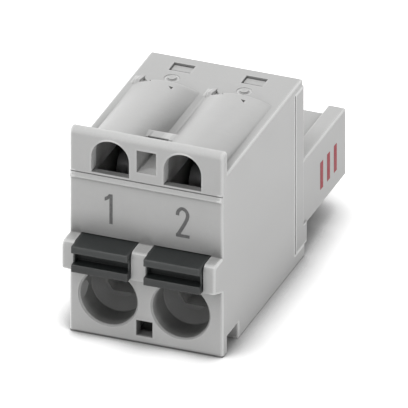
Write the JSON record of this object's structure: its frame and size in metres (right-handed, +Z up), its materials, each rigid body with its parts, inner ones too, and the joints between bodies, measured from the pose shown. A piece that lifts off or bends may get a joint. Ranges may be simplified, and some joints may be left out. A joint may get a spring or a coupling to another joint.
{
  "type": "pcb plug connector",
  "caption": "Pluggable wire-to-board connector with push-in clamps, release buttons over round wire entries, arched test openings and a tail that enters a header.",
  "frame": {"origin": "middle of the outline's footprint, on the underside", "axes": "+Z up, +Y from the wire side to the header side, +X to the right along the row of poles"},
  "size_m": [0.0108, 0.025, 0.0152],
  "materials": {
    "housing_plastic": "fine satin, light grey",
    "carrier_plastic": "fine satin, light grey",
    "button_plastic": "satin, dark grey",
    "tinned_copper": "tin plated",
    "spring_steel": "bright"
  },
  "bodies": {
    "plug": {"housing": "housing_plastic", "contact_carrier": "carrier_plastic", "contact_1": "tinned_copper", "contact_2": "tinned_copper", "clamp_spring_1": "spring_steel", "clamp_spring_2": "spring_steel", "over_spring_1": "spring_steel", "over_spring_2": "spring_steel"},
    "button_1": {"release_button_1": "button_plastic"},
    "button_2": {"release_button_2": "button_plastic"}
  },
  "joints": [
    {"name": "button_1_press", "type": "slide", "parent": "plug", "child": "button_1", "axis": [0, 1, 0], "range_m": [0, 0.0012], "stiffness_N_per_m": 4000, "springref_m": -0.0004, "deforming": ["clamp_spring_1"]},
    {"name": "button_2_press", "type": "slide", "parent": "plug", "child": "button_2", "axis": [0, 1, 0], "range_m": [0, 0.0012], "stiffness_N_per_m": 4000, "springref_m": -0.0004, "deforming": ["clamp_spring_2"]}
  ]
}
